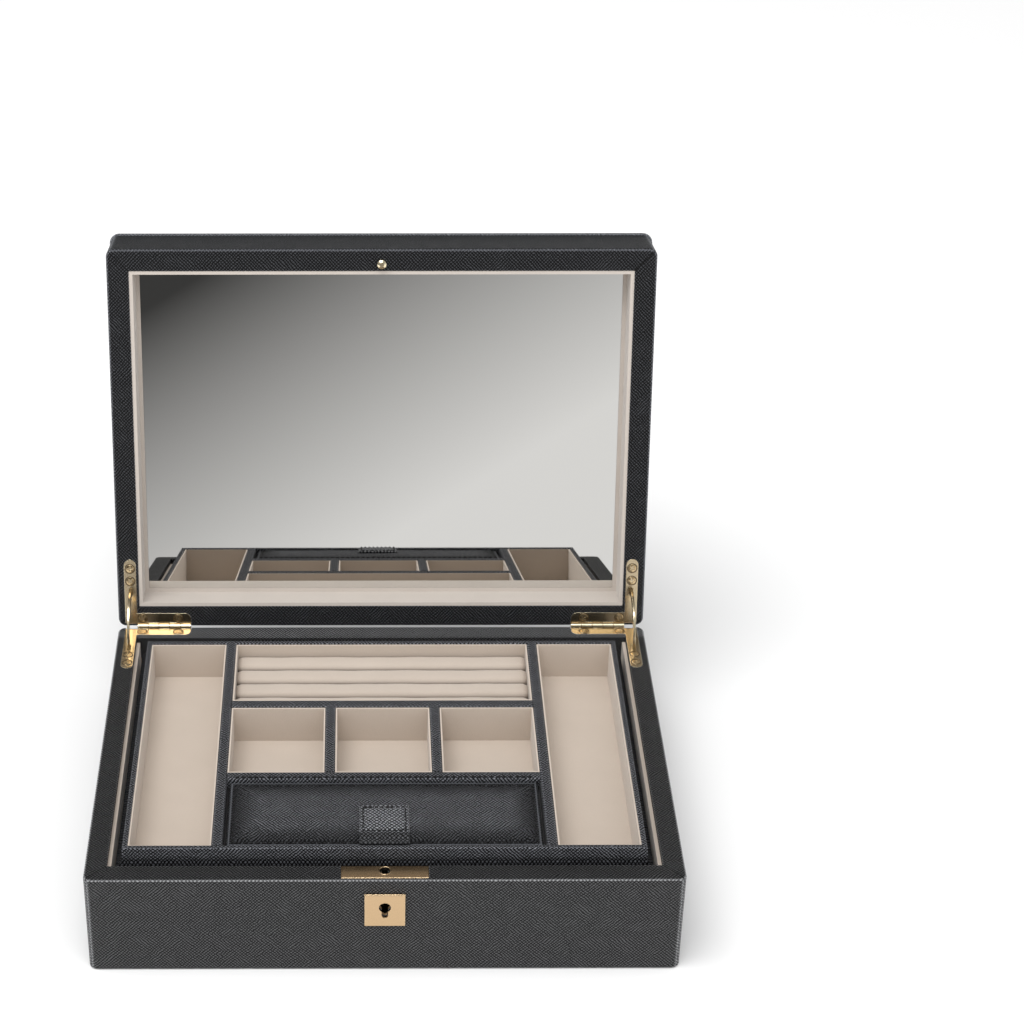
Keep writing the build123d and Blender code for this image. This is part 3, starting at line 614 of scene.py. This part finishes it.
def roll_shell(y0, y1, z0, z1, half_x):
    """One roll along X, from y0 to y1 and z0 to z1: a round-topped section, drawn in a little at both ends.

    With t from -1 to 1 over the section, it reaches out as 1 - (1 - |t|)^1.7 and falls away as |t|^3.2.
    """
    turn = np.linspace(-1.0, 1.0, 17)
    middle, half = (y0 + y1) / 2, (y1 - y0) / 2
    section = np.stack([middle + half * np.sign(turn) * (1 - (1 - np.abs(turn)) ** 1.7),
                        z1 - (z1 - z0) * 0.45 * np.abs(turn) ** 3.2], axis=1)
    section = np.vstack([[middle - half, z0], section, [middle + half, z0]])
    along = np.linspace(-1.0, 1.0, 61)
    shrink = 1 - 0.10 * np.clip((np.abs(along) - 0.975) / 0.025, 0, 1) ** 2
    drop = 0.9 * MM * np.clip((np.abs(along) - 0.965) / 0.035, 0, 1) ** 2
    sag = 0.12 * MM * np.sin(along * 9.0 + y0 * 900.0) + 0.08 * MM * np.sin(along * 23.0 + y0 * 400.0)
    x = np.repeat((along * half_x)[:, None], len(section), 1)
    y = middle + (section[None, :, 0] - middle) * shrink[:, None]
    raised = (section[None, :, 1] - z0) / (z1 - z0)
    z = section[None, :, 1] - (drop - sag)[:, None] * raised
    points = np.stack([x, y, z], axis=-1).reshape(-1, 3)
    count = len(section)
    faces = sheet_faces(len(along), count, wrap=True)
    return points, faces + [list(range(count)), list(range(len(points) - count, len(points)))]


def slit_shade(tree, tone):
    """Painted shade between the rolls: nearly black at 55.5 mm up, and the suede's own tone from 59.2 mm."""
    return blended(tree, eased_step(tree, place_on(tree)["Z"], 0.0555, 0.0592), (0.06, 0.045, 0.035), tone)


first_roll, roll_pitch, roll_width, roll_foot, roll_top, roll_half = 30.42, 12.725, 12.45, 44.35, 60.2, 80.4
rolls, roll_faces = [], []
for index in range(4):
    start = (first_roll + index * roll_pitch) * MM
    points, faces = roll_shell(start, start + roll_width * MM, roll_foot * MM, roll_top * MM, roll_half * MM)
    roll_faces += [[i + index * len(points) for i in face] for face in faces]
    rolls.append(points)
roll_suede = suede_cloth("roll suede", (0.475, 0.41, 0.352))
retone(roll_suede, slit_shade)
ring_pad = new_piece("ring_pad_rolls", np.concatenate(rolls), roll_faces, roll_suede, "tray")
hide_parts("ring_rolls")

# ---- Flap over the front compartment
# Leather over a thin pad on a stiff board, sewn all round three millimetres in from its edge, so that the
# middle puffs up and the leather creases away from the stitches at the corners.


def panel_height(x, y):
    """Height over the border, in metres, of the flap's padded panel at x, y from its centre.

    With d the distance in from the edge: a lip turned down at the edge, a groove for the thread 3 mm in, then
    a rise of 2.3 (1 - exp(-(d - 3) / 4.5)) mm, with folds running in from the corners and puckers by the seam.
    """
    in_x, in_y = flap_x - np.abs(x), flap_half - np.abs(y)
    d = np.minimum(in_x, in_y)
    inward = np.clip(d - seam_in, 0, None)
    rise = 2.3 * MM * (1 - np.exp(-inward / (4.5 * MM)))
    groove = -0.75 * MM * np.exp(-((d - seam_in) / (0.75 * MM)) ** 2)
    lip = -0.9 * MM * np.exp(-d / (0.45 * MM))
    round_corner = np.arctan2(12 * MM - in_y, 12 * MM - in_x)
    corner = np.exp(-(np.hypot(in_x, in_y) / (17 * MM)) ** 2)
    faded = np.exp(-inward / (7 * MM)) * np.clip(inward / (1.5 * MM), 0, 1)
    folds = 0.85 * MM * corner * np.sin(round_corner * 9.0 + np.sign(x) * 0.8) * faded
    by_seam = np.exp(-inward / (3.2 * MM)) * np.clip(inward / (0.8 * MM), 0, 1)
    long_waves = np.sin(x / (2.9 * MM) + 2.2 * np.sin(x / (13 * MM)))
    waves = np.where(in_y < in_x, long_waves, np.sin(y / (2.6 * MM)))
    pucker = 0.28 * MM * waves * (0.5 + 0.5 * np.sin(x / (21 * MM) + 1.0)) * by_seam
    slack = 0.10 * MM * np.sin(x / (11 * MM) + 1.3 * np.sin(y / (9 * MM))) * (1 - np.exp(-inward / (6 * MM)))
    return rise + groove + lip + folds + pucker + slack


def blown(x, y, height, held):
    """How far a sewn cloth of that shape rises, in metres, when it is blown up a little from below.

    x, y and height are grids; held is True where the cloth is sewn down. Simulated over twenty frames.
    """
    mesh = bpy.data.meshes.new("blown")
    mesh.from_pydata(np.stack([x, y, height], axis=-1).reshape(-1, 3).tolist(), [], sheet_faces(*x.shape))
    cloth_piece = bpy.data.objects.new("blown", mesh)
    bpy.context.collection.objects.link(cloth_piece)
    sewn = cloth_piece.vertex_groups.new(name="sewn")
    sewn.add(np.flatnonzero(held).tolist(), 1.0, "REPLACE")
    cloth = cloth_piece.modifiers.new("Cloth", "CLOTH")
    cloth.settings.vertex_group_mass = "sewn"
    cloth.settings.mass = 0.0001
    cloth.settings.use_pressure = True
    cloth.settings.uniform_pressure_force = 3.0
    cloth.settings.shrink_min = -0.004
    cloth.settings.shear_stiffness = 3.0
    cloth.settings.effector_weights.gravity = 0.0
    cloth.collision_settings.use_collision = False
    for step in range(1, 21):
        bpy.context.scene.frame_set(step)
    settled = cloth_piece.evaluated_get(bpy.context.evaluated_depsgraph_get()).to_mesh()
    place = np.empty(len(settled.vertices) * 3)
    settled.vertices.foreach_get("co", place)
    moved = place.reshape(*x.shape, 3)[..., 2] - height
    bpy.context.scene.frame_set(1)
    bpy.data.objects.remove(cloth_piece)
    return moved


def pad_swell(x, y):
    """The simulated rise at x, y from the panel's centre, read between the points of its grid."""
    i = np.clip((x + flap_x) / (2 * flap_x) * cells_x, 0, cells_x - 0.001)
    j = np.clip((y + flap_half) / (2 * flap_half) * cells_y, 0, cells_y - 0.001)
    i0, j0 = i.astype(int), j.astype(int)
    a, b = i - i0, j - j0
    return ((1 - a) * (1 - b) * moved[i0, j0] + a * (1 - b) * moved[i0 + 1, j0]
            + (1 - a) * b * moved[i0, j0 + 1] + a * b * moved[i0 + 1, j0 + 1])


def flap_shade(tree, tone):
    """Painted shade by the seam and painted light on the puffed middle, with a painted highlight line 1.3 mm
    in from the edge.
    """
    place = place_on(tree)
    off_middle = math_node(tree, "ABSOLUTE", math_node(tree, "SUBTRACT", place["Y"], flap_middle))
    in_x = math_node(tree, "SUBTRACT", flap_x, math_node(tree, "ABSOLUTE", place["X"]))
    inward = math_node(tree, "MINIMUM", in_x, math_node(tree, "SUBTRACT", flap_half, off_middle))
    painted_puff_shade = eased_step(tree, inward, 0.003, 0.018, 0.45, 1.35)
    # Painted highlight along the border's ridge.
    off_line = math_node(tree, "ABSOLUTE", math_node(tree, "SUBTRACT", inward, 0.0013))
    line = eased_step(tree, off_line, 0.0001, 0.0006, 0.65, 0.0)
    return blended(tree, line, scaled(tree, tone, painted_puff_shade), (0.20, 0.21, 0.235))


flap_x, flap_y0, flap_y1 = 79.7 * MM, -91.3 * MM, -39.8 * MM
flap_low, flap_border, seam_in = 61.4 * MM, 65.1 * MM, 3.0 * MM
flap_half, flap_middle = (flap_y1 - flap_y0) / 2, (flap_y0 + flap_y1) / 2

# The board under the pad holds the leather back: a point moves up 1.1 mm at most, and half of that is kept.
cells_x, cells_y = 128, 44
even_x, even_y = np.meshgrid(np.linspace(-flap_x, flap_x, cells_x + 1),
                             np.linspace(-flap_half, flap_half, cells_y + 1), indexing="ij")
held = np.minimum(flap_x - np.abs(even_x), flap_half - np.abs(even_y)) < seam_in + 0.4 * MM
moved = blown(even_x, even_y, panel_height(even_x, even_y) * 0.6, held)
moved = np.clip(moved, -0.6 * MM, 1.1 * MM) * 0.5
beside = moved[:-2, 1:-1] + moved[2:, 1:-1] + moved[1:-1, :-2] + moved[1:-1, 2:]
moved[1:-1, 1:-1] = (moved[1:-1, 1:-1] * 2 + beside) / 6

across = np.concatenate([[-1], np.linspace(-0.996, -0.93, 14), np.linspace(-0.92, 0.92, 150),
                         np.linspace(0.93, 0.996, 14), [1]])
along = np.concatenate([[-1], np.linspace(-0.99, -0.80, 16), np.linspace(-0.78, 0.78, 50),
                        np.linspace(0.80, 0.99, 16), [1]])
u, v = np.meshgrid(across, along, indexing="ij")
x, y = u * flap_x, v * flap_half
height = flap_border + panel_height(x, y) + pad_swell(x, y)
top = np.stack([x, y + flap_middle, height], axis=-1).reshape(-1, 3)
rim = rim_of(*u.shape)
low_rim = np.arange(len(rim)) + len(top)
faces = sheet_faces(*u.shape) + [low_rim.tolist()]
faces += np.stack([rim, np.roll(rim, -1), np.roll(low_rim, -1), low_rim], axis=1).tolist()
points = np.vstack([top, np.column_stack([top[rim, :2], np.full(len(rim), flap_low)])])
flap_leather = grain_leather("black flap leather", (0.0150, 0.0154, 0.0168), 0.00140, 0.00150, 0.25,
                             contrast=4.2, wear_and_edge_highlight=9.0, even=0.0)
retone(flap_leather, flap_shade)
flap_pad = new_piece("flap_padded_cover", points, faces, flap_leather, "flap")
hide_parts("flap_cover")

seam = rounded_ring(flap_x - seam_in, flap_half - seam_in, 1.6 * MM, per_side=40)
level = flap_border + panel_height(seam[:, 0], seam[:, 1])
seam = np.column_stack([seam[:, 0], seam[:, 1] + flap_middle, level + 0.22 * MM])
points, faces = stitch_line(seam, upwards, 3.1 * MM, 2.35 * MM, 0.75 * MM, closed=True)
new_piece("flap_stitching", points, faces, thread, "flap")

hem = np.column_stack([np.linspace(-77.5, 77.5, 60), np.full(60, -38.45), np.full(60, 67.12)]) * MM
points, faces = stitch_line(hem, np.array([0.0, -0.35, 0.94]), 3.3 * MM, 2.3 * MM, 1.1 * MM, slant=0.0)
new_piece("flap_hinge_stitching", points, faces, thread, "tray")

# ---- Pull tab
# A doubled strip of leather with a coarser grain, its edges rounded over, to lift the flap by. It is sewn down
# in a square, which the seam draws in by a third of a millimetre, and its front end is free.


def under_tab(x, y):
    """Heights where the tab lies: the flap's plain leather, the same half swollen, and a stiff strip."""
    plain = flap_border + panel_height(x, y - flap_middle)
    along_tab, height = np.array([0.0, 5.5, 9.0, 28.3]) * MM, np.array([66.9, 67.35, 67.45, 67.4]) * MM
    stiff = np.interp(y - tab_y0, along_tab, height)
    return plain, plain + pad_swell(x, y - flap_middle) * 0.5, stiff


def tab_shade(tree, tone):
    """The free front end, 6.4 mm long, is in the flap's shade and a third as light as the sewn square."""
    sewn_from, sewn_to = tab_y0 + 6.4 * MM, tab_y0 + 8.4 * MM
    return scaled(tree, tone, eased_step(tree, place_on(tree)["Y"], sewn_from, sewn_to, 0.32, 1.0))


tab_half, tab_y0, tab_y1 = 12.65 * MM, -91.2 * MM, -62.9 * MM
seam_x, seam_y0, seam_y1 = tab_half - 1.9 * MM, tab_y0 + 8.2 * MM, tab_y1 - 1.9 * MM
across = np.concatenate([np.linspace(-1, -0.86, 7), np.linspace(-0.82, 0.82, 31), np.linspace(0.86, 1, 7)])
along = np.concatenate([np.linspace(0, 0.07, 7), np.linspace(0.09, 0.91, 37), np.linspace(0.93, 1, 7)])
u, v = np.meshgrid(across, along, indexing="ij")
x, y = u * tab_half, tab_y0 + v * (tab_y1 - tab_y0)
plain, swollen, stiff = under_tab(x, y)
bed = np.maximum(swollen, stiff * 0.6 + plain * 0.4)
in_seam = np.minimum(seam_x - np.abs(x), np.minimum(seam_y1 - y, y - seam_y0))
in_edge = np.minimum(tab_half - np.abs(x), np.minimum(y - tab_y0, tab_y1 - y))
sewn = 0.32 * MM * np.exp(-(in_seam / (0.8 * MM)) ** 2)
rounded = 0.55 * MM * (1 - np.sqrt(1 - np.clip(1 - in_edge / (0.7 * MM), 0, 1) ** 2))
puff = 0.25 * MM * np.clip(in_seam / (2 * MM), 0, 1)
top = np.stack([x, y, bed + 1.25 * MM - sewn - rounded + puff], axis=-1).reshape(-1, 3)
foot = np.stack([x, y, bed + 0.05 * MM], axis=-1).reshape(-1, 3)
rim = rim_of(*u.shape)
faces = sheet_faces(*u.shape)
faces += [[i + len(top) for i in face[::-1]] for face in faces]
faces += np.stack([rim, np.roll(rim, -1), np.roll(rim, -1) + len(top), rim + len(top)], axis=1).tolist()
tab_leather = grain_leather("coarse tab leather", (0.042, 0.043, 0.046), 0.00155, 0.00130, 0.28, lean=0.0,
                            contrast=3.4, wear_and_edge_highlight=6.0)
retone(tab_leather, tab_shade)
tab = new_piece("pull_tab_leather", np.vstack([top, foot]), faces, tab_leather, "flap")
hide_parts("pull_tab")

ring = rounded_ring(seam_x, (seam_y1 - seam_y0) / 2, 0.4 * MM, per_corner=3, per_side=12)
ring = ring + np.array([0.0, (seam_y0 + seam_y1) / 2])
plain, swollen, stiff = under_tab(ring[:, 0], ring[:, 1])
level = np.maximum(swollen, stiff * 0.6 + swollen * 0.4) + 1.12 * MM
ring = np.column_stack([ring, level])
points, faces = stitch_line(ring, upwards, 2.7 * MM, 2.0 * MM, 1.0 * MM, closed=True)
new_piece("tab_stitching", points, faces, thread, "flap")

# ---- Table, light and camera
# A white paper table in a white room, with a broad lamp over the box, seen through a long lens from the front.
# The paper is a little darker near the box, a painted shade round it, and lighter away from it.
bpy.ops.mesh.primitive_plane_add(size=1.0)
table = bpy.context.object
table.name = "table"
table.scale = (6.0, 3.5, 1.0)
table.location = (0.0, 1.42, 0.0)
bpy.ops.object.transform_apply(location=True, rotation=True, scale=True)
paper, shader, tree = new_material("table paper", Roughness=0.9, Specular_IOR_Level=0.0)
spot = add(tree, "ShaderNodeTexCoord").outputs["Object"]
away = add(tree, "ShaderNodeVectorMath", {"operation": "LENGTH"}, i0=spot).outputs["Value"]
# Painted shade: the paper's colour is darker near the box.
tone = eased_step(tree, away, 0.15, 0.60, 0.89, 0.99)
grey = add(tree, "ShaderNodeCombineXYZ", X=tone, Y=tone, Z=tone).outputs[0]
tree.links.new(grey, shader.inputs["Base Color"])
table.data.materials.append(paper)

# The room lights the box less from behind. Mirrored in the leather and the brass it is an even grey overhead,
# and by the horizon it goes from dark on the left to bright on the right. The camera sees plain white.
world = bpy.data.worlds.new("studio")
bpy.context.scene.world = world
world.use_nodes = True
sky = world.node_tree
sky.nodes.clear()
white = (1.0, 1.0, 1.0, 1.0)
ray = add(sky, "ShaderNodeLightPath").outputs
heading = add(sky, "ShaderNodeTexCoord").outputs["Generated"]
facing = add(sky, "ShaderNodeSeparateXYZ", i0=heading).outputs
behind = eased_step(sky, facing["Y"], -0.2, 0.75, 1.15, 0.30)
slope = add(sky, "ShaderNodeVectorMath", {"operation": "DOT_PRODUCT"}, i0=heading, i1=(3.15, 0.0, -5.17))
slope = math_node(sky, "ADD", slope.outputs["Value"], 0.205)
fade = add(sky, "ShaderNodeClamp", Value=slope, Min=0.05, Max=0.85).outputs[0]
glow = add(sky, "ShaderNodeMix", i0=eased_step(sky, facing["Z"], 0.0, 0.35), i2=fade, i3=0.32).outputs[0]
room = add(sky, "ShaderNodeBackground", Color=white, Strength=behind).outputs[0]
mirrored = add(sky, "ShaderNodeBackground", Color=white, Strength=glow).outputs[0]
plain_white = add(sky, "ShaderNodeBackground", Color=white, Strength=1.0).outputs[0]
lit = add(sky, "ShaderNodeMixShader", i0=ray["Is Glossy Ray"], i1=room, i2=mirrored).outputs[0]
shown = add(sky, "ShaderNodeMixShader", i0=ray["Is Camera Ray"], i1=lit, i2=plain_white).outputs[0]
sky.links.new(shown, sky.nodes.new("ShaderNodeOutputWorld").inputs[0])

softbox = bpy.data.lights.new("softbox", "AREA")
softbox.shape = "RECTANGLE"
softbox.size = 1.3
softbox.size_y = 0.8
softbox.energy = 15.5
lamp = bpy.data.objects.new("softbox", softbox)
bpy.context.collection.objects.link(lamp)
lamp.location = (-0.34, -0.42, 1.60)
lamp.rotation_euler = (-lamp.location).to_track_quat("-Z", "Y").to_euler()

lens = bpy.data.cameras.new("camera")
lens.lens = 84.96
lens.sensor_width = 36.0
lens.shift_x = 0.1413
camera = bpy.data.objects.new("camera", lens)
bpy.context.collection.objects.link(camera)
camera.location = (-0.0135, -1.0267, 0.8497)
camera.rotation_euler = (1.0103, -0.00102, -0.00426)
bpy.context.scene.camera = camera
bpy.context.scene.view_settings.view_transform = "Standard"
